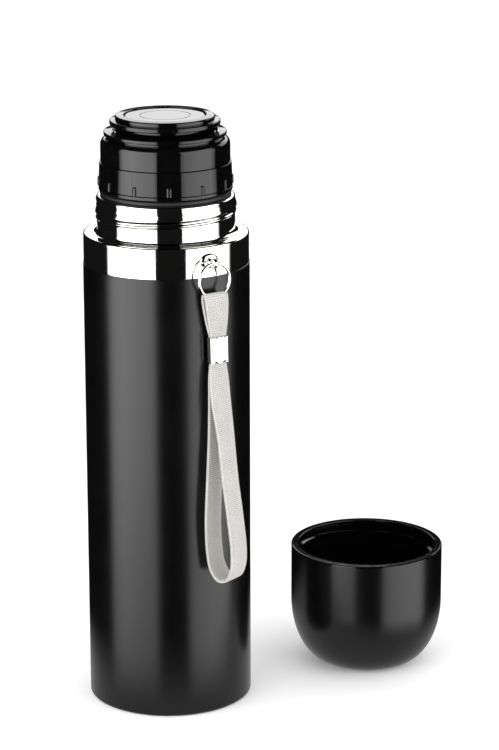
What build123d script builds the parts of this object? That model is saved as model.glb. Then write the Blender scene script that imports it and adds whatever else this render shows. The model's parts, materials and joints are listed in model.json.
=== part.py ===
"""Half-litre double-wall vacuum flask with a push-button pouring stopper, a drinking cup and a wrist strap.

Millimetres, +Z up along the flask. The origin is on the flask's axis, on the surface it stands on.
The stopper is screwed in, the strap hangs from its lug, and the cup stands mouth up beside the flask.
Every round profile is drawn as (radius, height) in the XZ plane and turned about the Z axis.
"""

import os
from math import cos, radians, sin

from build123d import *

# ---- driving dimensions: flask ----
BODY_R = 33.5  # outside of the painted tube
BAND_R = 33.25  # outside of the polished shoulder band, one paint thickness less
SHEET = 0.5  # outer steel wall
PAINT_TOP_Z = 183.4  # where the paint ends and the polished band starts
LEDGE_Z = 195.8  # shoulder that the closed cup's rim lands on
NECK_R = 27.7  # outside of the neck
LIP_Z = 211.0  # rim of the neck
MOUTH_R = 24.6  # inside of the neck
VESSEL_R = 29.9  # outside of the inner vessel
VESSEL_WALL = 0.4
VESSEL_BOTTOM_Z = 8.0
SPIGOT = 4.0  # length of the shoulder's joggle inside the tube
WELD_GAP = 0.02  # between nested steel pieces
PLAY = 0.1  # clearance between plastic pieces that are pressed together

# ---- driving dimensions: threads ----
STOPPER_LEAD = 10.0  # rise per turn of the two-start stopper thread
STOPPER_STARTS = 2
NECK_THREAD_Z = 197.5  # start of the neck's inner ridges
CUP_PITCH = 5.0  # rise per turn of the single ridge that holds the cup
CUP_RIDGE_Z = 202.4  # start of the ridge on the neck
CUP_RIDGE_TURNS = 1.25
CUP_RIDGE_START = 150.0  # degrees round the flask from +X

# ---- driving dimensions: stopper ----
PLUG_R = 23.2
PLUG_BOTTOM_Z = 187.0
FLANGE_Z = 212.9  # underside of the flange that presses the gasket on the lip
FLANGE_R = 26.8
SEAM_Z = 224.5  # joint between the grip ring and the collar
GRIP_R = 26.4  # grip ring at the seam
GRIP_FOOT_R = 26.75  # grip ring at its lower edge
COLLAR_R = 25.9
LIP_RING_R = 24.5  # thin pouring lip round the collar
DRIP_RING_R = 22.1  # drip ring under the cap
CAP_R = 19.9
CAP_TOP_Z = 243.1
BUTTON_R = 16.0
TRAVEL = 4.0  # how far the button presses
FLOW_R = 9.0  # bore of the flow tube
STEM_R = 2.0
RUNNING = 0.1  # radial clearance of the stem in its guide
GRIP_MARKS = 12
GRIP_MARK_START = 4.5  # degrees from the front to the first mark

# ---- driving dimensions: cup ----
CUP_X = 82.95
CUP_Y = 34.78
CUP_R = 32.05
CUP_H = 51.4
CUP_BASE_R = 16.5
CUP_SHOULDER_Z = 27.2  # where the rounded base meets the straight wall
CUP_SHEET = 0.6
CUP_BORE_R = 29.1

# ---- driving dimensions: lug, ring and strap ----
LUG_AZIMUTH = 32.0  # degrees round the flask from its front, towards +X
STANDOFF = 4.0  # ring plane to band surface
RING_R = 6.9  # to the middle of the wire
WIRE_R = 0.62
RING_TOP_Z = 189.75  # middle of the wire at the top
EYE_R = 1.55
EYE_HOLE_R = 0.85
WEBBING = 1.2  # strap thickness
STRAP_W = 10.0
FOLD_W = 7.0
CLIP_TOP = 15.95  # from the ring's lowest wire down to the clip
CLIP_H = 10.6
CLIP_W = 8.0
CLIP_T = 4.0
CLIP_WALL = 0.6
STRAP_LEAN = 4.6  # degrees that the upper strap leans round the flask
LOOP_END_R = 6.6  # outside of the loop's rounded end
LOOP_END_U = 5.25
LOOP_END_DROP = 110.0
LOOP_SHIFT = 1.4

azimuth = radians(LUG_AZIMUTH)
outward = Vector(sin(azimuth), -cos(azimuth), 0)
around = Vector(cos(azimuth), sin(azimuth), 0)
up = Vector(0, 0, 1)
os.makedirs("parts", exist_ok=True)


def corners(sketch, *points):
    """The vertices of a sketch that lie nearest to the given points."""
    return [sketch.vertices().sort_by_distance(Vector(*point))[0] for point in points]


def ridge(root_r, crest_r, root_w, crest_w, pitch, start_z, turns):
    """One helical thread ridge of trapezoid section, from radius root_r to crest_r."""
    with BuildPart() as made:
        with BuildLine() as path:
            Helix(pitch=pitch, height=pitch * turns, radius=root_r, center=(0, 0, start_z))
        with BuildSketch(Plane(origin=path.line @ 0, x_dir=(1, 0, 0), z_dir=path.line % 0)):
            depth = crest_r - root_r
            Polygon(
                (0, -root_w / 2),
                (depth, -crest_w / 2),
                (depth, crest_w / 2),
                (0, root_w / 2),
                align=None,
            )
        sweep(path=path.line, is_frenet=True)
    return made.part


def keep(made, name):
    """Label a finished piece and write its STEP file."""
    made.part.label = name
    export_step(made.part, f"parts/{name}.step")


# ================= flask =================

FOOT_R = 31.6
TUBE_BORE_R = BODY_R - SHEET

with BuildPart() as outer_shell:
    with BuildSketch(Plane.XZ) as profile:
        Polygon(
            (TUBE_BORE_R, PAINT_TOP_Z),
            (BODY_R, PAINT_TOP_Z),
            (BODY_R, 0),
            (FOOT_R, 0),
            (FOOT_R, SHEET),
            (TUBE_BORE_R, SHEET),
            align=None,
        )
        fillet(corners(profile, (BODY_R, 0)), 0.9)
        fillet(corners(profile, (TUBE_BORE_R, SHEET)), 0.4)
        fillet(corners(profile, (BODY_R, PAINT_TOP_Z)), 0.12)
    revolve(axis=Axis.Z)
keep(outer_shell, "outer_shell")

# Shoulder, ledge and neck are one drawn sheet; its joggle sits inside the painted tube.
SPIGOT_R = TUBE_BORE_R - WELD_GAP
NECK_BORE_R = NECK_R - SHEET
LINER_R = MOUTH_R + VESSEL_WALL
BAND_BORE_R = BAND_R - SHEET

with BuildPart() as neck_shell:
    with BuildSketch(Plane.XZ) as profile:
        Polygon(
            (SPIGOT_R - SHEET, PAINT_TOP_Z - SPIGOT),
            (SPIGOT_R, PAINT_TOP_Z - SPIGOT),
            (SPIGOT_R, PAINT_TOP_Z + WELD_GAP),
            (BAND_R, PAINT_TOP_Z + WELD_GAP),
            (BAND_R, LEDGE_Z),
            (NECK_R, LEDGE_Z),
            (NECK_R, LIP_Z),
            (LINER_R + WELD_GAP, LIP_Z),
            (LINER_R + WELD_GAP, LIP_Z - SHEET),
            (NECK_BORE_R, LIP_Z - SHEET),
            (NECK_BORE_R, LEDGE_Z - SHEET),
            (BAND_BORE_R, LEDGE_Z - SHEET),
            (BAND_BORE_R, PAINT_TOP_Z + 1),
            (SPIGOT_R - SHEET, PAINT_TOP_Z + 0.6),
            align=None,
        )
        fillet(corners(profile, (BAND_R, LEDGE_Z)), 0.8)
        fillet(corners(profile, (NECK_R, LEDGE_Z)), 1.7)
        fillet(corners(profile, (NECK_BORE_R, LEDGE_Z - SHEET)), 2.2)
        fillet(corners(profile, (NECK_R, LIP_Z)), 0.9)
        fillet(corners(profile, (NECK_BORE_R, LIP_Z - SHEET)), 0.4)
        fillet(corners(profile, (BAND_BORE_R, LEDGE_Z - SHEET)), 0.3)
    revolve(axis=Axis.Z)
    cup_holder = ridge(NECK_R - 0.15, NECK_R + 0.75, 2.9, 1.0, CUP_PITCH, CUP_RIDGE_Z, CUP_RIDGE_TURNS)
    add(cup_holder.rotate(Axis.Z, CUP_RIDGE_START))
keep(neck_shell, "neck_shell")

VESSEL_SHOULDER_Z = 182.5
VESSEL_NECK_Z = 193.5

with BuildPart() as inner_vessel:
    with BuildSketch(Plane.XZ) as profile:
        Polygon(
            (0, VESSEL_BOTTOM_Z),
            (VESSEL_R, VESSEL_BOTTOM_Z),
            (VESSEL_R, VESSEL_SHOULDER_Z),
            (LINER_R, VESSEL_NECK_Z),
            (LINER_R, LIP_Z),
            (MOUTH_R, LIP_Z),
            (MOUTH_R, VESSEL_NECK_Z - 0.2),
            (VESSEL_R - VESSEL_WALL, VESSEL_SHOULDER_Z - 0.2),
            (VESSEL_R - VESSEL_WALL, VESSEL_BOTTOM_Z + VESSEL_WALL),
            (0, VESSEL_BOTTOM_Z + VESSEL_WALL),
            align=None,
        )
        fillet(corners(profile, (VESSEL_R, VESSEL_BOTTOM_Z)), 8.4)
        fillet(corners(profile, (VESSEL_R - VESSEL_WALL, VESSEL_BOTTOM_Z + VESSEL_WALL)), 8.0)
        fillet(corners(profile, (VESSEL_R, VESSEL_SHOULDER_Z)), 5.0)
        fillet(corners(profile, (VESSEL_R - VESSEL_WALL, VESSEL_SHOULDER_Z - 0.2)), 4.6)
        fillet(corners(profile, (LINER_R, VESSEL_NECK_Z)), 3.0)
        fillet(corners(profile, (MOUTH_R, VESSEL_NECK_Z - 0.2)), 3.4)
    revolve(axis=Axis.Z)
    neck_ridge = ridge(MOUTH_R + 0.15, MOUTH_R - 0.9, 2.2, 1.0, STOPPER_LEAD, NECK_THREAD_Z, 1.0)
    for start in range(STOPPER_STARTS):
        add(neck_ridge.rotate(Axis.Z, start * 360 / STOPPER_STARTS))
keep(inner_vessel, "inner_vessel")

PAN_Z = 4.5
PAN_R = TUBE_BORE_R - 0.05
PAN_RIM = 4.5
PORT_R = 1.2  # hole that the air is drawn out through
SEAL_R = 3.2

with BuildPart() as outer_bottom:
    with BuildSketch(Plane.XZ) as profile:
        Polygon(
            (PORT_R, PAN_Z),
            (PAN_R, PAN_Z),
            (PAN_R, PAN_Z + PAN_RIM),
            (PAN_R - SHEET, PAN_Z + PAN_RIM),
            (PAN_R - SHEET, PAN_Z + SHEET),
            (PORT_R, PAN_Z + SHEET),
            align=None,
        )
        fillet(corners(profile, (PAN_R, PAN_Z)), 1.0)
        fillet(corners(profile, (PAN_R - SHEET, PAN_Z + SHEET)), 0.5)
    revolve(axis=Axis.Z)
keep(outer_bottom, "outer_bottom")

with BuildPart() as vacuum_seal:
    with BuildSketch(Plane.XZ):
        Polygon(
            (0, PAN_Z - 0.7),
            (SEAL_R, PAN_Z - 0.7),
            (SEAL_R, PAN_Z - WELD_GAP),
            (PORT_R - 0.05, PAN_Z - WELD_GAP),
            (PORT_R - 0.05, PAN_Z + 0.9),
            (0, PAN_Z + 0.9),
            align=None,
        )
    revolve(axis=Axis.Z)
keep(vacuum_seal, "vacuum_seal")

COVER_Z = 0.9  # how far the cover stands off the table
COVER_T = 0.5
COVER_R = FOOT_R - 0.1

with BuildPart() as base_cover:
    with BuildSketch(Plane.XZ) as profile:
        Polygon(
            (0, COVER_Z),
            (COVER_R, COVER_Z),
            (COVER_R, PAN_Z - PLAY),
            (COVER_R - COVER_T, PAN_Z - PLAY),
            (COVER_R - COVER_T, COVER_Z + COVER_T),
            (0, COVER_Z + COVER_T),
            align=None,
        )
        fillet(corners(profile, (COVER_R, COVER_Z)), 0.3)
    revolve(axis=Axis.Z)
    # Turned decorative groove.
    with BuildSketch(Plane.XY.offset(COVER_Z)):
        Circle(22.0)
        Circle(21.0, mode=Mode.SUBTRACT)
    extrude(amount=0.2, mode=Mode.SUBTRACT)
keep(base_cover, "base_cover")

GETTER_X = 14.0
GETTER_R = 4.0
FOIL_T = 0.2
FOIL_GAP = 0.3
FOIL_Z = VESSEL_BOTTOM_Z + 10
FOIL_H = 155.0

with BuildPart() as getter:
    with BuildSketch(Plane.XY.offset(PAN_Z + SHEET + WELD_GAP)):
        with Locations((GETTER_X, 0)):
            Circle(GETTER_R)
    extrude(amount=1.5)
    fillet(getter.edges().group_by(Axis.Z)[-1], 0.4)
keep(getter, "getter")

with BuildPart() as foil_wrap:
    with BuildSketch(Plane.XY.offset(FOIL_Z)):
        Circle(VESSEL_R + FOIL_GAP + FOIL_T)
        Circle(VESSEL_R + FOIL_GAP, mode=Mode.SUBTRACT)
    extrude(amount=FOIL_H)
keep(foil_wrap, "foil_wrap")

# ================= lug and ring =================

# The wire curves inside the eye, so the hole follows its mean height.
wire_sag = RING_R - (RING_R**2 - EYE_R**2) ** 0.5
EYE_Z = RING_TOP_Z - wire_sag / 2
LUG_HALF_W = 4.2
LUG_HALF_H = 3.1
LUG_DOME = 1.2
POST_R = 1.1
POST_START = 0.8  # from the band, inside the dome
lug_plane = Plane(origin=outward * BAND_R + up * (EYE_Z + 0.3), x_dir=around, z_dir=outward)
post_plane = Plane(origin=outward * (BAND_R + POST_START) + up * EYE_Z, x_dir=around, z_dir=outward)
eye_plane = Plane(origin=outward * (BAND_R + STANDOFF) + up * EYE_Z, x_dir=outward, z_dir=around)

with BuildPart() as strap_lug:
    with BuildSketch(lug_plane):
        Ellipse(LUG_HALF_W, LUG_HALF_H)
    extrude(amount=LUG_DOME)
    fillet(strap_lug.edges().sort_by(Axis(lug_plane.origin, outward))[-1], 1.0)
    with BuildSketch(lug_plane):
        Ellipse(LUG_HALF_W, LUG_HALF_H)
    extrude(amount=-1.0)
    # The base is hollowed to the band's curve.
    with BuildSketch(Plane.XY.offset(EYE_Z - 2 * LUG_HALF_H)):
        Circle(BAND_R + WELD_GAP)
    extrude(amount=4 * LUG_HALF_H, mode=Mode.SUBTRACT)
    with BuildSketch(post_plane):
        Circle(POST_R)
    extrude(amount=STANDOFF - POST_START)
    with Locations(eye_plane):
        Sphere(EYE_R)
        Cylinder(EYE_HOLE_R, 4 * EYE_R, mode=Mode.SUBTRACT)
keep(strap_lug, "strap_lug")

ring_centre = outward * (BAND_R + STANDOFF) + up * (RING_TOP_Z - RING_R)

with BuildPart(Plane(origin=ring_centre, x_dir=around, z_dir=outward)) as carry_ring:
    Torus(RING_R, WIRE_R)
keep(carry_ring, "carry_ring")

# ================= strap =================

# Strap profiles lie in a plane that looks round the flask: x outward, y up, from the ring's lowest wire.
strap_origin = ring_centre - up * RING_R
strap_plane = Plane(origin=strap_origin, x_dir=outward, z_dir=-around)
lean = radians(STRAP_LEAN)
lean_plane = Plane(origin=strap_origin, x_dir=outward, z_dir=-(around * cos(lean) + up * sin(lean)))
loop_plane = Plane(origin=strap_origin + around * LOOP_SHIFT, x_dir=outward, z_dir=-around)
DOUBLE = 2 * WEBBING + 0.1  # both layers pressed together
NECK_START = 3.0
NECK_END = CLIP_TOP + CLIP_H + 2.0
TUNNEL_R = 1.15  # way through the fold for the ring's wire
FOLD_RISE = 0.65
FOLD_FOOT = 4.0

with BuildPart() as strap:
    with BuildSketch(lean_plane):
        with Locations((0, -(NECK_START + NECK_END) / 2)):
            Rectangle(DOUBLE, NECK_END - NECK_START)
    extrude(amount=(CLIP_W - 2 * CLIP_WALL) / 2 - PLAY, both=True)
    with BuildSketch(strap_plane):
        with Locations((0, FOLD_RISE)):
            Circle(TUNNEL_R + WEBBING - 0.2)
        with Locations((0, -FOLD_FOOT)):
            Circle(DOUBLE / 2)
        make_hull()
        with Locations((0, FOLD_RISE)):
            Circle(TUNNEL_R, mode=Mode.SUBTRACT)
        with Locations((0, FOLD_RISE / 2)):
            Rectangle(2 * TUNNEL_R, FOLD_RISE, mode=Mode.SUBTRACT)
        Circle(TUNNEL_R, mode=Mode.SUBTRACT)
    extrude(amount=FOLD_W / 2, both=True)
    with BuildSketch(loop_plane):
        with BuildSketch(mode=Mode.PRIVATE) as teardrop:
            with Locations((0, -(NECK_END - 0.2))):
                Circle(DOUBLE / 2)
            with Locations((LOOP_END_U, -LOOP_END_DROP)):
                Circle(LOOP_END_R)
            make_hull()
        add(teardrop.sketch)
        offset(teardrop.sketch, amount=-WEBBING, mode=Mode.SUBTRACT)
    extrude(amount=STRAP_W / 2, both=True)
keep(strap, "strap")

with BuildPart() as strap_clip:
    with BuildSketch(lean_plane):
        with Locations((0, -CLIP_TOP - CLIP_H / 2)):
            Rectangle(CLIP_T, CLIP_H)
    extrude(amount=CLIP_W / 2, both=True)
    long_edges = strap_clip.edges().filter_by(lambda edge: abs(edge.length - CLIP_H) < 0.01)
    fillet(long_edges, 0.5)
    with BuildSketch(lean_plane):
        with Locations((0, -CLIP_TOP - CLIP_H / 2)):
            Rectangle(CLIP_T - 2 * CLIP_WALL, CLIP_H + 1)
    extrude(amount=CLIP_W / 2 - CLIP_WALL, both=True, mode=Mode.SUBTRACT)
keep(strap_clip, "strap_clip")

# ================= stopper =================

TUBE_R = FLOW_R + 1.5
CORE_BORE_R = PLUG_R - 1.4
CORE_FLOOR_Z = PLUG_BOTTOM_Z + 1.8
FLANGE_TOP_Z = FLANGE_Z + 1.75

with BuildPart() as stopper_core:
    with BuildSketch(Plane.XZ) as profile:
        Polygon(
            (FLOW_R, PLUG_BOTTOM_Z),
            (PLUG_R, PLUG_BOTTOM_Z),
            (PLUG_R, FLANGE_Z),
            (FLANGE_R, FLANGE_Z),
            (FLANGE_R, FLANGE_TOP_Z),
            (CORE_BORE_R, FLANGE_TOP_Z),
            (CORE_BORE_R, CORE_FLOOR_Z),
            (TUBE_R, CORE_FLOOR_Z),
            (TUBE_R, SEAM_Z + 1.5),
            (FLOW_R, SEAM_Z + 1.5),
            align=None,
        )
        chamfer(corners(profile, (FLANGE_R, FLANGE_Z)), 0.6)
        chamfer(corners(profile, (PLUG_R, PLUG_BOTTOM_Z)), 0.8)
        fillet(corners(profile, (FLANGE_R, FLANGE_TOP_Z)), 0.15)
    revolve(axis=Axis.Z)
    # The plug's ridges run half way between the neck's.
    gap = STOPPER_LEAD / STOPPER_STARTS / 2
    plug_ridge = ridge(PLUG_R - 0.15, PLUG_R + 1.0, 2.2, 1.0, STOPPER_LEAD, NECK_THREAD_Z - gap, 0.8)
    for start in range(STOPPER_STARTS):
        add(plug_ridge.rotate(Axis.Z, start * 360 / STOPPER_STARTS))
keep(stopper_core, "stopper_core")

INSULATION_H = 24.5

with BuildPart() as plug_insulation:
    with BuildSketch(Plane.XY.offset(CORE_FLOOR_Z + PLAY)):
        Circle(CORE_BORE_R - PLAY)
        Circle(TUBE_R + PLAY, mode=Mode.SUBTRACT)
    extrude(amount=INSULATION_H)
keep(plug_insulation, "plug_insulation")

GASKET_R = FLANGE_R - 0.45
GASKET_BORE_R = PLUG_R + 0.15
GASKET_BOTTOM_Z = LIP_Z + 0.12
GASKET_TOP_Z = FLANGE_Z - 0.12

with BuildPart() as neck_gasket:
    with BuildSketch(Plane.XZ) as profile:
        Polygon(
            (GASKET_BORE_R, GASKET_BOTTOM_Z),
            (GASKET_R, GASKET_BOTTOM_Z),
            (GASKET_R, GASKET_TOP_Z),
            (GASKET_BORE_R, GASKET_TOP_Z),
            align=None,
        )
        fillet(corners(profile, (GASKET_R, GASKET_BOTTOM_Z), (GASKET_R, GASKET_TOP_Z)), 0.5)
    revolve(axis=Axis.Z)
keep(neck_gasket, "neck_gasket")

GRIP_FOOT_Z = FLANGE_TOP_Z + 0.15
GRIP_BORE_R = 24.9
SEAM = 0.08  # half of the visible gap at the seam
MARK_H = 3.7
MARK_W = 1.7

with BuildPart() as grip_mark:
    with BuildSketch(Plane.YZ.offset(GRIP_R - 0.8)):
        with Locations((0, GRIP_FOOT_Z + 0.1 + (MARK_H - MARK_W / 2) / 2)):
            Rectangle(MARK_W, MARK_H - MARK_W / 2)
        with Locations((0, GRIP_FOOT_Z + 0.1 + MARK_H - MARK_W / 2)):
            Circle(MARK_W / 2)
    extrude(amount=1.5)

with BuildPart() as grip_ring:
    with BuildSketch(Plane.XZ) as profile:
        Polygon(
            (GRIP_BORE_R, GRIP_FOOT_Z),
            (GRIP_FOOT_R, GRIP_FOOT_Z),
            (GRIP_R, SEAM_Z - SEAM),
            (GRIP_BORE_R, SEAM_Z - SEAM),
            align=None,
        )
        fillet(corners(profile, (GRIP_FOOT_R, GRIP_FOOT_Z), (GRIP_R, SEAM_Z - SEAM)), 0.12)
    revolve(axis=Axis.Z)
    with PolarLocations(0, GRIP_MARKS, start_angle=GRIP_MARK_START - 90):
        add(grip_mark.part)
keep(grip_ring, "grip_ring")

POUR_LIP_Z = 237.0  # inner edge of the pouring lip, which slopes outward from here
LIP_EDGE_TOP_Z = 236.6
LIP_EDGE_FOOT_Z = 235.1
LIP_GROOVE_R = 22.8  # bottom of the groove under the lip
COLLAR_BORE_R = 21.0
COLLAR_SPIGOT_R = GRIP_BORE_R - PLAY
COLLAR_WALL = 2.1
SHOULDER_FOOT_Z = 231.2  # the collar's wall rounds over from here
SHOULDER_TOP_Z = 233.9

with BuildPart() as collar:
    with BuildSketch(Plane.XZ) as profile:
        with BuildLine():
            EllipticalCenterArc(
                (LIP_RING_R - 0.6, SHOULDER_FOOT_Z),
                COLLAR_R - LIP_RING_R + 0.6,
                SHOULDER_TOP_Z - SHOULDER_FOOT_Z,
                start_angle=0,
                arc_size=90,
            )
            Polyline(
                (LIP_RING_R - 0.6, SHOULDER_TOP_Z),
                (LIP_GROOVE_R, SHOULDER_TOP_Z),
                (LIP_GROOVE_R, LIP_EDGE_FOOT_Z - 0.1),
                (LIP_RING_R, LIP_EDGE_FOOT_Z),
                (LIP_RING_R, LIP_EDGE_TOP_Z),
                (COLLAR_BORE_R, POUR_LIP_Z),
                (COLLAR_BORE_R, SHOULDER_TOP_Z - 1.1),
                (COLLAR_R - COLLAR_WALL - 0.5, SHOULDER_TOP_Z - 3.1),
                (COLLAR_R - COLLAR_WALL - 0.5, SEAM_Z + 1.6),
                (TUBE_R + PLAY, SEAM_Z + 1.6),
                (TUBE_R + PLAY, SEAM_Z + SEAM),
                (COLLAR_SPIGOT_R - 1.5, SEAM_Z + SEAM),
                (COLLAR_SPIGOT_R - 1.5, SEAM_Z - 5),
                (COLLAR_SPIGOT_R, SEAM_Z - 5),
                (COLLAR_SPIGOT_R, SEAM_Z + SEAM),
                (COLLAR_R, SEAM_Z + SEAM),
                (COLLAR_R, SHOULDER_FOOT_Z),
            )
        make_face()
        fillet(corners(profile, (COLLAR_R, SEAM_Z + SEAM)), 0.12)
        fillet(corners(profile, (LIP_RING_R, LIP_EDGE_TOP_Z), (LIP_RING_R, LIP_EDGE_FOOT_Z)), 0.4)
    revolve(axis=Axis.Z)
keep(collar, "collar")

CAP_SKIRT_R = COLLAR_BORE_R - PLAY
CAP_SKIRT_FOOT_Z = POUR_LIP_Z - 3.6
CAP_SKIRT_TOP_Z = POUR_LIP_Z - 1.1
WAIST_R = 18.6  # the posts between the pouring windows
DRIP_TOP_Z = 241.1
DRIP_FOOT_Z = 239.2
WELL_R = BUTTON_R + 1.6  # outside of the well the button slides in
WELL_FOOT_Z = POUR_LIP_Z - 1.8
WINDOW_R = WELL_R + 0.1
WINDOW_TOP_Z = DRIP_FOOT_Z - 0.3
POSTS = 6
POST_W = 2.4
POST_START_ANGLE = 30  # puts one post at the front

with BuildPart() as stopper_cap:
    with BuildSketch(Plane.XZ) as profile:
        Polygon(
            (BUTTON_R + 0.3, CAP_TOP_Z),
            (CAP_R, CAP_TOP_Z - 0.2),
            (CAP_R, DRIP_TOP_Z + 0.2),
            (DRIP_RING_R, DRIP_TOP_Z),
            (DRIP_RING_R, DRIP_FOOT_Z),
            (WAIST_R, DRIP_FOOT_Z - 0.2),
            (WAIST_R, POUR_LIP_Z - 0.3),
            (CAP_SKIRT_R, CAP_SKIRT_TOP_Z + 0.2),
            (CAP_SKIRT_R, CAP_SKIRT_FOOT_Z),
            (CAP_SKIRT_R - 1.2, CAP_SKIRT_FOOT_Z),
            (CAP_SKIRT_R - 1.2, CAP_SKIRT_FOOT_Z + 1.2),
            (WELL_R, WELL_FOOT_Z + 0.6),
            (WELL_R, WELL_FOOT_Z),
            (BUTTON_R + 0.3, WELL_FOOT_Z),
            align=None,
        )
        fillet(corners(profile, (CAP_R, CAP_TOP_Z - 0.2)), 0.6)
        fillet(corners(profile, (BUTTON_R + 0.3, CAP_TOP_Z)), 0.4)
        fillet(corners(profile, (DRIP_RING_R, DRIP_TOP_Z), (DRIP_RING_R, DRIP_FOOT_Z)), 0.5)
    revolve(axis=Axis.Z)
    # Pouring windows all round, up through the skirt and out under the drip ring, with posts between.
    for foot, top, reach in (
        (CAP_SKIRT_FOOT_Z + 1.1, CAP_SKIRT_TOP_Z + 0.1, CAP_SKIRT_R - 1.2),
        (CAP_SKIRT_TOP_Z, WINDOW_TOP_Z, CAP_SKIRT_R + 0.1),
    ):
        with BuildSketch(Plane.XY.offset(foot)):
            Circle(reach)
            Circle(WINDOW_R, mode=Mode.SUBTRACT)
            with PolarLocations(CAP_R, POSTS, start_angle=POST_START_ANGLE):
                Rectangle(6, POST_W, mode=Mode.SUBTRACT)
        extrude(amount=top - foot, mode=Mode.SUBTRACT)
keep(stopper_cap, "stopper_cap")

BUTTON_TOP_Z = CAP_TOP_Z - 0.5
BUTTON_UNDER_Z = BUTTON_TOP_Z - 1.7
BUTTON_SKIRT_R = BUTTON_R - 1.4
BUTTON_FOOT_Z = BUTTON_TOP_Z - 6
BOSS_R = 3.8
THUMB_RING_R = 10.0
SEAT_TOP_Z = SEAM_Z - 0.5
BOSS_FOOT_Z = SEAT_TOP_Z + TRAVEL + 1.0
STEM_TOP_Z = BUTTON_UNDER_Z - 0.2

with BuildPart() as button:
    with BuildSketch(Plane.XZ) as profile:
        Polygon(
            (0, BUTTON_UNDER_Z - 0.1),
            (STEM_R + 0.02, BUTTON_UNDER_Z - 0.1),
            (STEM_R + 0.02, BOSS_FOOT_Z),
            (BOSS_R, BOSS_FOOT_Z),
            (BOSS_R, BUTTON_UNDER_Z),
            (BUTTON_SKIRT_R, BUTTON_UNDER_Z),
            (BUTTON_SKIRT_R, BUTTON_FOOT_Z),
            (BUTTON_R, BUTTON_FOOT_Z),
            (BUTTON_R, BUTTON_TOP_Z),
            (0, BUTTON_TOP_Z),
            align=None,
        )
        fillet(corners(profile, (BUTTON_R, BUTTON_TOP_Z)), 0.4)
    revolve(axis=Axis.Z)
    # A turned line marks the thumb's place.
    with BuildSketch(Plane.XY.offset(BUTTON_TOP_Z)):
        Circle(THUMB_RING_R + 0.2)
        Circle(THUMB_RING_R - 0.2, mode=Mode.SUBTRACT)
    extrude(amount=-0.2, mode=Mode.SUBTRACT)
keep(button, "button")

VALVE_Z = PLUG_BOTTOM_Z - 0.1  # top of the valve seal
DISC_TOP_Z = VALVE_Z - 1.85
DISC_BOTTOM_Z = DISC_TOP_Z - 1.8
STEM_FOOT_R = STEM_R - 0.3
STEM_GROOVE_R = STEM_FOOT_R - 0.4
CLIP_RING_H = 0.9
DISC_R = 11.4
DISC_HUB_R = 5.0
SEAL_LIP_R = (9.4, 11.0)  # flat top of the seal, which meets the plug's underside

with BuildPart() as valve_stem:
    with BuildSketch(Plane.XZ):
        Polygon(
            (0, DISC_BOTTOM_Z - 1.8),
            (STEM_FOOT_R, DISC_BOTTOM_Z - 1.8),
            (STEM_FOOT_R, DISC_BOTTOM_Z - 1.0),
            (STEM_GROOVE_R, DISC_BOTTOM_Z - 1.0),
            (STEM_GROOVE_R, DISC_BOTTOM_Z),
            (STEM_FOOT_R, DISC_BOTTOM_Z),
            (STEM_FOOT_R, DISC_TOP_Z + 0.02),
            (STEM_R, DISC_TOP_Z + 0.02),
            (STEM_R, STEM_TOP_Z),
            (0, STEM_TOP_Z),
            align=None,
        )
    revolve(axis=Axis.Z)
keep(valve_stem, "valve_stem")

with BuildPart() as valve_disc:
    with BuildSketch(Plane.XZ) as profile:
        Polygon(
            (STEM_FOOT_R + 0.02, DISC_BOTTOM_Z + 0.02),
            (DISC_HUB_R, DISC_BOTTOM_Z + 0.02),
            (DISC_R, DISC_BOTTOM_Z + 0.8),
            (DISC_R, DISC_TOP_Z),
            (STEM_FOOT_R + 0.02, DISC_TOP_Z),
            align=None,
        )
        fillet(corners(profile, (DISC_R, DISC_BOTTOM_Z + 0.8)), 0.3)
    revolve(axis=Axis.Z)
keep(valve_disc, "valve_disc")

with BuildPart() as valve_seal:
    with BuildSketch(Plane.XZ) as profile:
        Polygon(
            (SEAL_LIP_R[0] - 1.8, DISC_TOP_Z + 0.02),
            (SEAL_LIP_R[1] + 0.8, DISC_TOP_Z + 0.02),
            (SEAL_LIP_R[1], VALVE_Z),
            (SEAL_LIP_R[0], VALVE_Z),
            align=None,
        )
        fillet(corners(profile, (SEAL_LIP_R[1], VALVE_Z), (SEAL_LIP_R[0], VALVE_Z)), 0.4)
    revolve(axis=Axis.Z)
keep(valve_seal, "valve_seal")

with BuildPart() as valve_clip:
    with BuildSketch(Plane.XY.offset(DISC_BOTTOM_Z - 0.95)):
        Circle(3.4)
        Circle(STEM_GROOVE_R + 0.05, mode=Mode.SUBTRACT)
        with Locations((2.5, 0)):
            Rectangle(5, 1.6, mode=Mode.SUBTRACT)
    extrude(amount=CLIP_RING_H)
keep(valve_clip, "valve_clip")

SEAT_R = 6.3  # plate under the spring
SEAT_T = 1.0
SPIDER_H = 4.0
SPIDER_Z = SEAT_TOP_Z - SEAT_T - SPIDER_H
SPOKES = 3
SPOKE_W = 1.4

with BuildPart() as stem_guide:
    with BuildSketch(Plane.XY.offset(SPIDER_Z)):
        Circle(FLOW_R - 0.05)
        Circle(FLOW_R - 1.2, mode=Mode.SUBTRACT)
        with PolarLocations((FLOW_R - 1) / 2, SPOKES):
            Rectangle(FLOW_R - 1, SPOKE_W)
        Circle(STEM_R + 1.4)
        Circle(STEM_R + RUNNING, mode=Mode.SUBTRACT)
    extrude(amount=SPIDER_H)
    with BuildSketch(Plane.XY.offset(SPIDER_Z + SPIDER_H)):
        Circle(SEAT_R)
        Circle(STEM_R + RUNNING, mode=Mode.SUBTRACT)
    extrude(amount=SEAT_T)
keep(stem_guide, "stem_guide")

SPRING_WIRE_R = 0.45
SPRING_R = 5.2
SPRING_TURNS = 7
spring_low = SEAT_TOP_Z + SPRING_WIRE_R + 0.1
spring_high = BUTTON_UNDER_Z - SPRING_WIRE_R - 0.1

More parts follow.
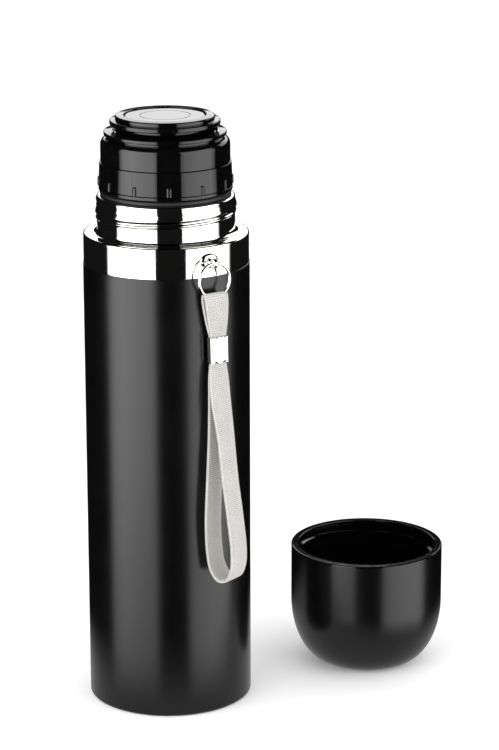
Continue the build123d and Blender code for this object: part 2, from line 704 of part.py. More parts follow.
with BuildPart() as button_spring:
    with BuildLine() as coil:
        Helix(
            pitch=(spring_high - spring_low) / SPRING_TURNS,
            height=spring_high - spring_low,
            radius=SPRING_R,
            center=(0, 0, spring_low),
        )
    with BuildSketch(Plane(origin=coil.line @ 0, z_dir=coil.line % 0)):
        Circle(SPRING_WIRE_R)
    sweep(path=coil.line, is_frenet=True)
keep(button_spring, "button_spring")

# ================= cup =================

cup_axis = Axis((CUP_X, CUP_Y, 0), (0, 0, 1))
cup_plane = Plane(origin=(CUP_X, CUP_Y, 0), x_dir=(1, 0, 0), z_dir=(0, -1, 0))
RIM_Z = CUP_H - 0.8
LINER_GAP = 0.1
CUP_FOOT_R = 14.5  # inside of the narrow foot ring
CUP_DISH = 0.3  # how far the middle of the base stands off the table

with BuildPart() as cup_shell:
    with BuildSketch(cup_plane):
        with BuildLine():
            Polyline(
                (CUP_BASE_R, 0),
                (CUP_FOOT_R, 0),
                (CUP_FOOT_R - CUP_DISH, CUP_DISH),
                (0, CUP_DISH),
                (0, CUP_SHEET + CUP_DISH),
                (CUP_BASE_R, CUP_SHEET + CUP_DISH),
            )
            EllipticalCenterArc(
                (CUP_BASE_R, CUP_SHOULDER_Z),
                CUP_R - CUP_BASE_R - CUP_SHEET,
                CUP_SHOULDER_Z - CUP_SHEET - CUP_DISH,
                start_angle=270,
                arc_size=90,
            )
            Polyline(
                (CUP_R - CUP_SHEET, CUP_SHOULDER_Z),
                (CUP_R - CUP_SHEET, RIM_Z),
                (CUP_R, RIM_Z),
                (CUP_R, CUP_SHOULDER_Z),
            )
            EllipticalCenterArc(
                (CUP_BASE_R, CUP_SHOULDER_Z),
                CUP_R - CUP_BASE_R,
                CUP_SHOULDER_Z,
                start_angle=270,
                arc_size=90,
            )
        make_face()
    revolve(axis=cup_axis)
keep(cup_shell, "cup_shell")

LINER_OUT_R = CUP_R - CUP_SHEET - LINER_GAP
LINER_OUT_Z = CUP_SHEET + CUP_DISH + LINER_GAP
CUP_FLOOR_Z = 2.8
LIP_R = CUP_BORE_R - 0.2  # inside edge of the drinking lip
CUP_THREAD_Z = CUP_H - 11.0
CUP_THREAD_TURNS = 1.4
CUP_THREAD_START = 40.0

with BuildPart() as cup_liner:
    with BuildSketch(cup_plane) as profile:
        with BuildLine():
            Polyline((CUP_BASE_R, LINER_OUT_Z), (0, LINER_OUT_Z), (0, CUP_FLOOR_Z), (CUP_BASE_R, CUP_FLOOR_Z))
            EllipticalCenterArc(
                (CUP_BASE_R, CUP_SHOULDER_Z),
                CUP_BORE_R - CUP_BASE_R,
                CUP_SHOULDER_Z - CUP_FLOOR_Z,
                start_angle=270,
                arc_size=90,
            )
            Polyline(
                (CUP_BORE_R, CUP_SHOULDER_Z),
                (CUP_BORE_R, CUP_H - 1.6),
                (LIP_R, CUP_H - 1.2),
                (LIP_R, CUP_H),
                (CUP_R, CUP_H),
                (CUP_R, RIM_Z + 0.05),
                (LINER_OUT_R, RIM_Z + 0.05),
                (LINER_OUT_R, CUP_SHOULDER_Z),
            )
            EllipticalCenterArc(
                (CUP_BASE_R, CUP_SHOULDER_Z),
                LINER_OUT_R - CUP_BASE_R,
                CUP_SHOULDER_Z - LINER_OUT_Z,
                start_angle=270,
                arc_size=90,
            )
        make_face()
        fillet(corners(profile, (CUP_R, CUP_H)), 0.6)
        fillet(corners(profile, (LIP_R, CUP_H)), 0.3)
    revolve(axis=cup_axis)
    cup_ridge = ridge(CUP_BORE_R + 0.2, CUP_BORE_R - 1.1, 2.4, 0.9, CUP_PITCH, CUP_THREAD_Z, CUP_THREAD_TURNS)
    add(cup_ridge.moved(Location((CUP_X, CUP_Y, 0), (0, 0, CUP_THREAD_START))))
keep(cup_liner, "cup_liner")
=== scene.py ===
import json
import math

import bpy
import numpy as np
from mathutils import Matrix, Vector


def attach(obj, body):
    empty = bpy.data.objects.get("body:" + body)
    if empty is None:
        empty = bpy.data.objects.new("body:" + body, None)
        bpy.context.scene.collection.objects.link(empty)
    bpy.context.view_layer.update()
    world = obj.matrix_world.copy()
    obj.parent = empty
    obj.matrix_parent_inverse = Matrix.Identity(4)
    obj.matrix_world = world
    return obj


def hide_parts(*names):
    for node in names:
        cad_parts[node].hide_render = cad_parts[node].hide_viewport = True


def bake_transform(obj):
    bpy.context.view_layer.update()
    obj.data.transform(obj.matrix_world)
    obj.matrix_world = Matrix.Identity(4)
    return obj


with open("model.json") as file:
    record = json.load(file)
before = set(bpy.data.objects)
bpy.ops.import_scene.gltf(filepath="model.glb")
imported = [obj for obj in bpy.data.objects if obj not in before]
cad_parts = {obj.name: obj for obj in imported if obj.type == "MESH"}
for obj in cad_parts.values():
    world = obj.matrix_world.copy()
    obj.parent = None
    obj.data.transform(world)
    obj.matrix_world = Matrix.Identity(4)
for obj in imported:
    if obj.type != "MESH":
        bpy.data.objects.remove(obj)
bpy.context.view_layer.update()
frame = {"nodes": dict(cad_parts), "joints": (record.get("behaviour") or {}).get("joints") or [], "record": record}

MM = 0.001
scene = bpy.context.scene
nodes = frame["nodes"]
joints = {joint["name"]: joint for joint in frame["joints"]}

# The strap hangs at this azimuth: outward points away from the flask there, around runs round it.
RING_PIVOT = Vector(joints["strap_swing"]["pos_m"]) / MM
STRAP_AZIMUTH = math.atan2(RING_PIVOT.x, -RING_PIVOT.y)


def outward(azimuth):
    return np.array((math.sin(azimuth), -math.cos(azimuth), 0.0))


def around(azimuth):
    return np.array((math.cos(azimuth), math.sin(azimuth), 0.0))


# ---------------------------------------------------------------- camera

SENSOR_W_MM = 36.0
LENS_MM = 136.538
CAMERA_PLACE = (0.03465, -1.112157, 0.452298)
CAMERA_TURN = [math.radians(angle) for angle in (0.071, 74.095, -0.135)]  # pan, tilt, roll


def make_camera():
    """In front of the flask and a little to its right, looking 16 degrees down along +Y."""
    data = bpy.data.cameras.new("camera")
    data.sensor_width = SENSOR_W_MM
    data.lens = LENS_MM
    data.dof.use_dof = False
    camera = bpy.data.objects.new("camera", data)
    camera.location = CAMERA_PLACE
    pan, tilt, roll = (Matrix.Rotation(angle, 3, axis) for angle, axis in zip(CAMERA_TURN, "ZXZ"))
    camera.rotation_euler = (pan @ tilt @ roll).to_euler()
    scene.collection.objects.link(camera)
    scene.camera = camera


# ---------------------------------------------------------------- mesh tools

def grid(points, loop_rows=False, loop_columns=False, caps=False, flip=False):
    """Points and quads of a grid, closed on itself along rows or columns, or capped at both ends."""
    points = np.asarray(points, float)
    rows, columns = points.shape[:2]
    faces = []
    for i in range(rows if loop_rows else rows - 1):
        for j in range(columns if loop_columns else columns - 1):
            near = i * columns
            far = (i + 1) % rows * columns
            after = (j + 1) % columns
            faces.append((near + j, near + after, far + after, far + j))
    if caps:
        faces.append(tuple(range(columns))[::-1])
        faces.append(tuple(range((rows - 1) * columns, rows * columns)))
    if flip:
        faces = [face[::-1] for face in faces]
    return points.reshape(-1, 3), faces


def mesh_object(name, *grids):
    """One smooth-shaded object in the scene from one or more grids in millimetres."""
    points, faces = [], []
    for some_points, some_faces in grids:
        start = sum(len(block) for block in points)
        faces += [tuple(start + corner for corner in face) for face in some_faces]
        points.append(some_points)
    mesh = bpy.data.meshes.new(name)
    mesh.from_pydata((np.concatenate(points) * MM).tolist(), [], faces)
    mesh.shade_smooth()
    made = bpy.data.objects.new(name, mesh)
    scene.collection.objects.link(made)
    return made


def finish_piece(piece, body, material, replaced):
    """Hangs a piece on its body and lets it stand for the CAD node it replaces."""
    piece.data.materials.append(material)
    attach(piece, body)
    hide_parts(replaced)


def smooth(x, low, high):
    """0 below low, 1 above high, and an even S between."""
    t = np.clip((np.asarray(x, float) - low) / (high - low), 0, 1)
    return t * t * (3 - 2 * t)


def hump(x):
    """A smooth bump, 1 at 0 and nothing beyond -1 and 1."""
    return np.cos(np.clip(x, -1, 1) * math.pi / 2) ** 2


def corner_arc(here, back, ahead, rounding, step):
    """Points of the arc that rounds a corner, whose edges leave along the unit vectors back and ahead."""
    angle = math.acos(np.clip(back @ ahead, -1, 1))
    if rounding == 0 or angle > math.pi - 0.01:
        return [here]
    run = rounding / math.tan(angle / 2)
    middle = here + (back + ahead) / np.linalg.norm(back + ahead) * rounding / math.sin(angle / 2)
    first = here + back * run - middle
    last = here + ahead * run - middle
    sweep = math.pi - angle
    turn = np.sign(first[0] * last[1] - first[1] * last[0])
    pieces = max(3, math.ceil(sweep * rounding / step))
    made = []
    for k in range(pieces + 1):
        a = turn * sweep * k / pieces
        x = first[0] * math.cos(a) - first[1] * math.sin(a)
        y = first[0] * math.sin(a) + first[1] * math.cos(a)
        made.append(middle + np.array((x, y)))
    return made


def rounded_outline(corners, step):
    """Points round a closed plane outline, step apart. A corner is (x, y, rounding)."""
    rounded = []
    for i, (x, y, rounding) in enumerate(corners):
        here = np.array((x, y))
        back = np.array(corners[i - 1][:2]) - here
        ahead = np.array(corners[(i + 1) % len(corners)][:2]) - here
        back = back / np.linalg.norm(back)
        ahead = ahead / np.linalg.norm(ahead)
        rounded += corner_arc(here, back, ahead, rounding, step)
    dense = []
    for i, point in enumerate(rounded):
        after = rounded[(i + 1) % len(rounded)]
        pieces = max(1, math.ceil(np.linalg.norm(after - point) / step))
        dense += [point + (after - point) * k / pieces for k in range(pieces)]
    return np.array(dense)


def turned(outline, angles, swell):
    """A grid of points from a (radius, height) outline turned about the Z axis.

    swell(angle, radius, height) is added to the radius.
    """
    rows = []
    for angle in angles:
        r, z = outline[:, 0], outline[:, 1]
        r = r + swell(angle, r, z)
        rows.append(np.stack((r * math.cos(angle), r * math.sin(angle), z), axis=-1))
    return np.array(rows)


# ---------------------------------------------------------------- steel neck

NECK_R = 27.7
BAND_R = 33.25
SLEEVE_R = 32.98  # the part of the neck piece that runs down inside the painted tube
SLEEVE_H = 4.0
STEEL = 0.5
PAINT_TOP_Z = 183.4
LEDGE_Z = 195.8
LIP_Z = 211.0
LINER_R = 25.02
NECK_STEP = 0.28
NECK_COLUMNS = 240

BEAD_PITCH = 5.0
BEAD_START_Z = 203.8
BEAD_START = math.radians(150)
BEAD_TURN = math.radians(450)
BEAD_RISE = 0.65
BEAD_ABOVE = 2.9  # how far the bead reaches above and below its crest
BEAD_BELOW = 1.3
STRIP_DROP = 2.25  # from the bead's crest to the thinner one under it
STRIP_RISE = 0.5
STRIP_REACH = 0.8


def neck_wall(r, z):
    """1 on the outside of the neck wall, and 0 on its fillet, lip and inside."""
    outside = smooth(r, NECK_R - 0.2, NECK_R - 0.05) * smooth(-r, -NECK_R - 0.2, -NECK_R - 0.05)
    return outside * smooth(z, LEDGE_Z + 1.8, LEDGE_Z + 2.6) * smooth(-z, -LIP_Z + 0.9, -LIP_Z + 1.4)


def neck_bead(angle, r, z):
    """How far the rolled thread stands out of the neck wall: a soft bead with a thinner one under it."""
    rise = np.zeros_like(z)
    for turn in range(-1, 3):
        along = angle + 2 * math.pi * turn - BEAD_START
        if not 0 <= along <= BEAD_TURN:
            continue
        fade = smooth(along, 0, 0.7) * smooth(BEAD_TURN - along, 0, 2.2)
        off = z - BEAD_START_Z - BEAD_PITCH * along / (2 * math.pi)
        crest = hump(off / np.where(off > 0, BEAD_ABOVE, BEAD_BELOW))
        strip = hump((off + STRIP_DROP) / STRIP_REACH)
        rise = rise + fade * (BEAD_RISE * crest + STRIP_RISE * strip)
    return rise * neck_wall(r, z)


def make_neck(material):
    """One pressed sheet: sleeve, polished band, ledge, neck wall and lip."""
    corners = [
        (SLEEVE_R - STEEL, PAINT_TOP_Z - SLEEVE_H, 0),
        (SLEEVE_R, PAINT_TOP_Z - SLEEVE_H, 0),
        (SLEEVE_R, PAINT_TOP_Z + 0.02, 0),
        (BAND_R, PAINT_TOP_Z + 0.02, 0.06),
        (BAND_R, LEDGE_Z, 0.8),
        (NECK_R, LEDGE_Z, 1.7),
        (NECK_R, LIP_Z, 0.9),
        (LINER_R, LIP_Z, 0),
        (LINER_R, LIP_Z - STEEL, 0),
        (NECK_R - STEEL, LIP_Z - STEEL, 0.4),
        (NECK_R - STEEL, LEDGE_Z - STEEL, 2.2),
        (BAND_R - STEEL, LEDGE_Z - STEEL, 0.3),
        (BAND_R - STEEL, PAINT_TOP_Z + 1, 0),
        (SLEEVE_R - STEEL, PAINT_TOP_Z + 0.6, 0),
    ]
    angles = np.linspace(0, 2 * math.pi, NECK_COLUMNS, endpoint=False)
    points = turned(rounded_outline(corners, NECK_STEP), angles, neck_bead)
    neck = mesh_object("steel_neck", grid(points, True, True, flip=True))
    finish_piece(neck, "flask", material, "neck_shell")


# ---------------------------------------------------------------- grip ring

GRIP_FOOT_Z = 214.8
GRIP_TOP_Z = 224.42
GRIP_FOOT_R = 26.75
GRIP_TOP_R = 26.4
GRIP_BORE_R = 24.9
GRIP_STEP = 0.2
MARKS = 12
MARK_PITCH = 2 * math.pi / MARKS
MARK_START = math.radians(4.5 - 90)
MARK_W = 1.75
MARK_H = 3.75
MARK_RISE = 0.5
PARTING = math.radians(-28 - 90)
PARTING_RISE = 0.05


def grip_marks(angle, r, z):
    """Raised marks with round tops along the foot of the ring, and the mould's two parting lines."""
    outer = smooth(r, GRIP_TOP_R - 0.25, GRIP_TOP_R - 0.12)
    off = (angle - MARK_START + MARK_PITCH / 2) % MARK_PITCH - MARK_PITCH / 2
    across = off * GRIP_TOP_R / (MARK_W / 2)
    top = GRIP_FOOT_Z + MARK_H - MARK_W / 2
    above = np.maximum(z - top, 0) / (MARK_W / 2)
    reach = np.sqrt(across**2 + above**2)
    mark = MARK_RISE * np.sqrt(np.clip(1 - reach**2, 0, 1))
    parting = abs((angle - PARTING + math.pi / 2) % math.pi - math.pi / 2)
    line = PARTING_RISE * float(smooth(-parting * GRIP_TOP_R, -0.16, -0.04))
    return outer * (mark + line)


def grip_angles():
    """Close together on the marks and just beside them, further apart between them."""
    edge = MARK_W / 2 / GRIP_TOP_R
    inside = np.sin(np.linspace(-math.pi / 2, math.pi / 2, 17)) * edge
    beside = np.array((1.05, 1.25)) * edge
    between = np.linspace(beside[1], MARK_PITCH - beside[1], 12)[1:-1]
    offsets = (*inside, *beside, *between, *-beside)
    made = [MARK_START + k * MARK_PITCH + offset for k in range(MARKS) for offset in offsets]
    return np.sort(np.mod(made, 2 * math.pi))


def make_grip_ring(material):
    """A slightly conical ring round the collar's foot."""
    corners = [
        (GRIP_BORE_R, GRIP_FOOT_Z, 0),
        (GRIP_FOOT_R, GRIP_FOOT_Z, 0.18),
        (GRIP_TOP_R, GRIP_TOP_Z, 0.15),
        (GRIP_BORE_R, GRIP_TOP_Z, 0),
    ]
    points = turned(rounded_outline(corners, GRIP_STEP), grip_angles(), grip_marks)
    ring = mesh_object("grip_ring_body", grid(points, True, True, flip=True))
    finish_piece(ring, "stopper", material, "grip_ring")


# ---------------------------------------------------------------- button spring

SPRING_WIRE_R = 0.45
SPRING_R = 5.2
SPRING_TURNS = 7
SPRING_FOOT_Z = 224.55  # lowest and highest middle of the wire
SPRING_TOP_Z = 240.35
SPRING_CLOSE = 0.07  # how strongly the end turns close up
SPRING_ROWS_PER_TURN = 48


def make_spring(material):
    """A coil with closed ends between the stem guide and the button, built at one fixed length."""
    rows = []
    for k in np.linspace(0, 1, SPRING_ROWS_PER_TURN * SPRING_TURNS + 1):
        angle = 2 * math.pi * SPRING_TURNS * k
        rise = k - SPRING_CLOSE * math.sin(2 * math.pi * k)
        z = SPRING_FOOT_Z + (SPRING_TOP_Z - SPRING_FOOT_Z) * rise
        out = np.array((math.cos(angle), math.sin(angle), 0.0))
        row = []
        for b in np.linspace(0, 2 * math.pi, 12, endpoint=False):
            reach = SPRING_R + SPRING_WIRE_R * math.cos(b)
            row.append(out * reach + (0, 0, z + SPRING_WIRE_R * math.sin(b)))
        rows.append(row)
    spring = mesh_object("coil_spring", grid(rows, loop_columns=True, caps=True, flip=True))
    spring.data.materials.append(material)
    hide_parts("button_spring")
    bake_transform(spring)


# ---------------------------------------------------------------- lug

RING_R = 6.9
STANDOFF = 4.0  # from the band to the middle of the ring's wire
EYE_Z = RING_PIVOT.z + 2 * RING_R - 0.1
BASE_SINK = 0.2  # how far the base reaches into the band
BASE_HALF_W = 4.1
BASE_HALF_H = 3.1
BASE_RISE = 1.25
BASE_LIFT = 0.3  # the base sits this much above the eye
POST_R = 1.15
POST_FLARE = [(0.9, 0.55), (1.15, 0.25), (1.5, 0.08), (2.0, 0.0), (STANDOFF - 0.9, 0.0)]  # (out, wider by)
EYE_MAJOR_R = 1.45
EYE_MINOR_R = 0.68
EYE_HALF_T = 1.25 * EYE_MINOR_R


def on_band(out, up, along):
    """A point out from the band, up from the lug's eye and along the band from the lug."""
    azimuth = STRAP_AZIMUTH + along / BAND_R
    return outward(azimuth) * (BAND_R + out) + (0, 0, EYE_Z + up)


def oval(out, lift, half_h, half_w, turns):
    """An upright oval of points round the lug's axis."""
    return [on_band(out, lift + half_h * math.sin(a), half_w * math.cos(a)) for a in turns]


def lug_base(turns):
    """The foot of the oval base inside the band, then rings that close in over its dome."""
    rings = [oval(-BASE_SINK, BASE_LIFT, BASE_HALF_H, BASE_HALF_W, turns)]
    for tip in np.linspace(0, math.pi / 2 - 0.02, 20):
        reach = math.cos(tip) ** 0.8
        rise = BASE_RISE * math.sin(tip) ** 0.9
        rings.append(oval(rise, BASE_LIFT, BASE_HALF_H * reach, BASE_HALF_W * reach, turns))
    return rings


def lug_eye(turns):
    """A small ring that stands out from the band, flat in the plane of outward and up."""
    rings = []
    for a in turns:
        ring = []
        for b in turns[::2]:
            reach = EYE_MAJOR_R + EYE_MINOR_R * math.cos(b)
            out = STANDOFF + reach * math.cos(a)
            ring.append(on_band(out, reach * math.sin(a), EYE_HALF_T * math.sin(b)))
        rings.append(ring)
    return rings


def make_lug(material):
    """An oval domed base, a short post, and an eye that carries the wire ring."""
    turns = np.linspace(0, 2 * math.pi, 48, endpoint=False)
    post = [oval(out, 0, POST_R + wider, POST_R + wider, turns) for out, wider in POST_FLARE]
    lug = mesh_object(
        "lug",
        grid(lug_base(turns), loop_columns=True, caps=True),
        grid(post, loop_columns=True, caps=True),
        grid(lug_eye(turns), loop_rows=True, loop_columns=True),
    )
    finish_piece(lug, "flask", material, "strap_lug")


# ---------------------------------------------------------------- strap

WEBBING_T = 1.2
WEBBING_W = 10.2
RIBS = 12
RIB_COLUMNS = 4
PICK = 0.8  # from one weft yarn to the next
WEAVE_DEPTH = 0.1
EDGE_RIPPLE = 0.1
TWIST = math.radians(22)
TWIST_TOP_Z = 150
TWIST_FOOT_Z = 112

# The middle of the webbing, as (outward from the ring's plane, height, offset round the flask, width). The
# fold runs from the clip up to the ring, and back down the same way on the flask's side.
FOLD = [
    (0.66, 160.0, 1.15, 7.1),
    (0.95, 165.5, 0.80, 8.8),
    (1.28, 171.0, 0.40, 10.0),
    (1.38, 175.3, 0.05, 10.5),
    (0.98, 176.9, 0.0, 10.6),
]
INNER_LEG = [
    (-0.66, 154.8, 1.25, 6.7),
    (-0.68, 149.5, 1.35, 7.1),
    (-0.72, 144.0, 1.60, 8.6),
    (-0.75, 134.0, 2.00, 9.8),
    (-0.75, 120.0, 1.50, WEBBING_W),
    (-0.75, 102.0, 0.15, WEBBING_W),
    (-0.75, 84.0, -1.00, WEBBING_W),
    (-0.60, 72.0, -0.50, WEBBING_W),
]
LOOP_END = [
    (0.60, 64.2, 0.10, WEBBING_W),
    (4.00, 60.2, 0.40, WEBBING_W),
    (8.20, 61.2, 0.40, WEBBING_W),
    (10.6, 66.0, 0.30, WEBBING_W),
    (11.0, 73.0, 0.30, WEBBING_W),
]
OUTER_LEG = [
    (9.3, 87.0, 0.30, WEBBING_W),
    (6.8, 102.0, 0.50, WEBBING_W),
    (4.1, 120.0, 1.30, WEBBING_W),
    (2.1, 134.0, 1.15, 9.8),
    (0.98, 144.0, 1.15, 8.6),
    (0.66, 149.5, 1.20, 7.1),
    (0.68, 154.7, 1.25, 6.7),
]
STRAP_ROUTE = [
    (0.68, 154.8, 1.25, 6.7),
    *FOLD,
    (0.0, 177.38, 0.0, 10.6),
    *[(-out, height, offset, width) for out, height, offset, width in reversed(FOLD)],
    *INNER_LEG,
    *LOOP_END,
    *OUTER_LEG,
]


def strap_controls():
    """The route as (x, y, z, width, azimuth), with the twist of the hand loop let in."""
    base = outward(STRAP_AZIMUTH) * math.hypot(RING_PIVOT.x, RING_PIVOT.y)
    controls = []
    for out, height, offset, width in STRAP_ROUTE:
        azimuth = STRAP_AZIMUTH + TWIST * float(smooth(-height, -TWIST_TOP_Z, -TWIST_FOOT_Z))
        spot = base + outward(azimuth) * out + around(azimuth) * offset + (0, 0, height)
        controls.append((*spot, width, azimuth))
    return np.array(controls)


def distances(points):
    return np.linalg.norm(np.diff(points[:, :3], axis=0), axis=1)


def spline(controls, step):
    """Evenly spaced points, step apart, on a centripetal curve through the controls, and its length."""
    knots = np.concatenate(([0], np.cumsum(distances(controls) ** 0.5)))
    padded = np.vstack((2 * controls[0] - controls[1], controls, 2 * controls[-1] - controls[-2]))
    times = np.concatenate(([-knots[1]], knots, [2 * knots[-1] - knots[-2]]))
    fine = []
    for i in range(1, len(controls)):
        p, t = padded[i - 1:i + 3], times[i - 1:i + 3]
        for s in np.linspace(t[1], t[2], 24, endpoint=False):
            a = [((t[k + 1] - s) * p[k] + (s - t[k]) * p[k + 1]) / (t[k + 1] - t[k]) for k in range(3)]
            b = [((t[k + 2] - s) * a[k] + (s - t[k]) * a[k + 1]) / (t[k + 2] - t[k]) for k in range(2)]
            fine.append(((t[2] - s) * b[0] + (s - t[1]) * b[1]) / (t[2] - t[1]))
    fine.append(controls[-1])
    fine = np.array(fine)
    run = np.concatenate(([0], np.cumsum(distances(fine))))
    wanted = np.linspace(0, run[-1], max(2, round(run[-1] / step)) + 1)
    return np.stack([np.interp(wanted, run, values) for values in fine.T], axis=-1), run[-1]


def section(width):
    """Points round the webbing's cross-section as (across, side, edge), with round edges."""
    rim = WEBBING_T / 2
    faces = np.linspace(-0.5, 0.5, RIBS * RIB_COLUMNS + 1) * (width - WEBBING_T)
    turns = [math.pi / 2 - math.pi * k / 6 for k in range(1, 6)]
    right = [(width / 2 - rim + rim * math.cos(a), math.sin(a), 1.0) for a in turns]
    left = [(-across, -side, edge) for across, side, edge in right]
    front = [(across, 1.0, 0.0) for across in faces]
    back = [(across, -1.0, 0.0) for across in faces[::-1]]
    return front + right + back + left


def weave(across, along):
    """Height of the weave: warp ribs, each tied down once in every pick."""
    rib = (across + 0.5) * RIBS
    ridge = math.sin(math.pi * (rib - math.floor(rib)))
    over = math.cos(2 * math.pi * along / PICK)
    return WEAVE_DEPTH * ridge * (0.45 + 0.55 * over) - WEAVE_DEPTH * 0.4


def webbing_row(place, heading, width, azimuth, along):
    """One cross-section's points, and the yarn counts there that the material reads."""
    wide = around(azimuth)
    wide = wide - heading * (wide @ heading)
    wide /= np.linalg.norm(wide)
    face = np.cross(heading, wide)
    row, counts = [], []
    for across, side, edge in section(width):
        relief = 0 if edge else weave(across / (width - WEBBING_T), along)
        lift = side * (WEBBING_T / 2 + relief)
        ripple = EDGE_RIPPLE * math.sin(2 * math.pi * along / PICK) * edge * np.sign(across)
        row.append(place + wide * (across + ripple) + face * lift)
        counts.append(((across / width + 0.5) * RIBS, along / PICK, 0.0))
    return row, counts


def make_webbing(material):
    """The strap: folded over the ring, through the clip, and round in a hand loop."""
    path, length = spline(strap_controls(), PICK / 2)
    heading = np.gradient(path[:, :3], axis=0)
    heading /= np.linalg.norm(heading, axis=1)[:, None]
    rows, counts = [], []
    for i, (x, y, z, width, azimuth) in enumerate(path):
        along = i * length / (len(path) - 1)
        row, row_counts = webbing_row(np.array((x, y, z)), heading[i], width, azimuth, along)
        rows.append(row)
        counts.append(row_counts)
    strap = mesh_object("webbing", grid(rows, loop_columns=True, caps=True, flip=True))
    yarns = strap.data.attributes.new("yarns", "FLOAT_VECTOR", "POINT")
    yarns.data.foreach_set("vector", np.array(counts, np.float32).ravel())
    finish_piece(strap, "strap", material, "strap")


# ---------------------------------------------------------------- clip

CLIP_W = 8.0
CLIP_T = 4.0
CLIP_H = 10.6
CLIP_WALL = 0.6
CLIP_ROUNDING = 0.75
CLIP_STEP = 0.2
CLIP_DROP = 21.2  # from the ring's lowest wire to the middle of the clip
CLIP_SHIFT = 1.25
CLIP_LEAN = math.radians(1.2)
CLIP_EDGE = 0.3  # the outline lies on a flat face down to this depth
CLIP_CROWN = 0.12
TOOTH_PLACES = (-1.9, 1.9)
TOOTH_DEPTH = 0.42
TOOTH_HALF_W = 0.75
TOOTH_REACH = 0.9  # from the clip's end


def clip_stations():
    """Heights along the clip as (nominal, built, depth in the steel), round from outside to inside.

    The ends are built a little longer than their nominal height, which rounds them.
    """
    end = CLIP_H / 2
    heights = np.concatenate((
        np.linspace(-end, -end + 1.6, 12),
        np.linspace(-end + 2.2, end - 2.2, 12),
        np.linspace(end - 1.6, end, 12),
    ))
    outside = [(h, h, 0) for h in heights]
    inside = [(h, h, CLIP_WALL) for h in heights[::-1]]
    low, high = [(h, 1.02 * h, CLIP_WALL / 2) for h in (-end, end)]
    return [low, *outside, high, *inside]


def clip_point(x, y, height, depth):
    """Where an outline point (x, y) lies at a height, on faces crowned and toothed at the ends."""
    across = x * (1 - depth / (CLIP_W / 2))
    out = y * (1 - depth / (CLIP_T / 2))
    if abs(y) <= CLIP_T / 2 - CLIP_EDGE:
        return across, out
    from_end = CLIP_H / 2 - abs(height)
    teeth = sum(math.exp(-(((x - place) / TOOTH_HALF_W) ** 2)) for place in TOOTH_PLACES)
    pinch = TOOTH_DEPTH * teeth * math.exp(-((from_end / TOOTH_REACH) ** 2))
    crown = CLIP_CROWN * from_end / (CLIP_H / 2) * (1 - (2 * x / CLIP_W) ** 2)
    return across, out + math.copysign(1, y) * (crown - pinch)


def make_clip(material):
    """A strip of steel bent round the webbing and pressed shut."""
    along, up = around(STRAP_AZIMUTH), np.array((0, 0, 1))
    down = along * math.sin(CLIP_LEAN) - up * math.cos(CLIP_LEAN)
    wide = along * math.cos(CLIP_LEAN) + up * math.sin(CLIP_LEAN)
    face = outward(STRAP_AZIMUTH)
    middle = np.array(RING_PIVOT) + along * CLIP_SHIFT - up * CLIP_DROP
    signs = [(1, 1), (-1, 1), (-1, -1), (1, -1)]
    corners = [(i * CLIP_W / 2, j * CLIP_T / 2, CLIP_ROUNDING) for i, j in signs]
    outline = rounded_outline(corners, CLIP_STEP)
    rows = []
    for nominal, built, depth in clip_stations():
        row = []
        for x, y in outline:
            across, out = clip_point(x, y, nominal, depth)
            row.append(middle + wide * across + face * out + down * built)
        rows.append(row)
    clip = mesh_object("crimp_clip", grid(rows, True, True))
    finish_piece(clip, "strap", material, "strap_clip")


# ---------------------------------------------------------------- studio

NO_FADE = (-2.0, -1.9)  # heights below everything
SOFTBOX_COLUMNS = 33
SIDE_DISTANCE = 0.8
BACK_DISTANCE = 0.9
WALL_DISTANCE = 1.6
GLOW_RINGS = 12
GLOW_COLUMNS = 49
FLOOR_HALF_W = 6000

# Radiance across each panel, as (place from 0 to 1, radiance).
LEFT_STOPS = [(0, 0.1), (0.04, 1.4), (0.135, 3.3), (0.36, 4.2), (0.92, 3.1), (1, 1.6)]
RIGHT_STOPS = [(0, 1.2), (0.12, 2.4), (0.49, 2.9), (0.81, 2.6), (0.95, 1.2), (1, 0.1)]
BACK_STOPS = [(0, 1.8), (0.6, 2.2), (0.85, 2.0), (1, 0.8)]
WALL_STOPS = [(0, 0.007), (1, 0.007)]
GLOW_STOPS = [(0, 0.55), (1, 0.45)]
GLOW_EDGE = 0.35


def radiance_ramp(tree, stops):
    """The stops as a grey ramp over the panel's across attribute, 1 at the brightest stop."""
    across = tree.nodes.new("ShaderNodeAttribute")
    across.attribute_name = "across"
    ramp = tree.nodes.new("ShaderNodeValToRGB")
    tree.links.new(across.outputs["Fac"], ramp.inputs["Fac"])
    while len(ramp.color_ramp.elements) < len(stops):
        ramp.color_ramp.elements.new(0.5)
    peak = max(level for _, level in stops)
    for element, (place, level) in zip(ramp.color_ramp.elements, stops):
        element.position = place
        element.color = (level / peak, level / peak, level / peak, 1)
    return ramp.outputs["Color"], peak


def height_fade(tree, fade, peak):
    """Radiance by height: 0 below the fade's first height, and the peak above its second."""
    place = tree.nodes.new("ShaderNodeNewGeometry")
    height = tree.nodes.new("ShaderNodeSeparateXYZ")
    tree.links.new(place.outputs["Position"], height.inputs[0])
    falloff = tree.nodes.new("ShaderNodeMapRange")
    falloff.interpolation_type = "SMOOTHSTEP"
    falloff.inputs["From Min"].default_value = fade[0]
    falloff.inputs["From Max"].default_value = fade[1]
    falloff.inputs["To Max"].default_value = peak
    tree.links.new(height.outputs[2], falloff.inputs["Value"])
    return falloff.outputs["Result"]


def emitter(name, stops, fade):
    """A light material. Its radiance follows the stops across the panel and fades out downwards."""
    made = bpy.data.materials.new(name)
    made.use_nodes = True
    tree = made.node_tree
    tree.nodes.clear()
    out = tree.nodes.new("ShaderNodeOutputMaterial")
    light = tree.nodes.new("ShaderNodeEmission")
    colour, peak = radiance_ramp(tree, stops)
    tree.links.new(colour, light.inputs["Color"])
    tree.links.new(height_fade(tree, fade, peak), light.inputs["Strength"])
    tree.links.new(light.outputs[0], out.inputs["Surface"])
    return made


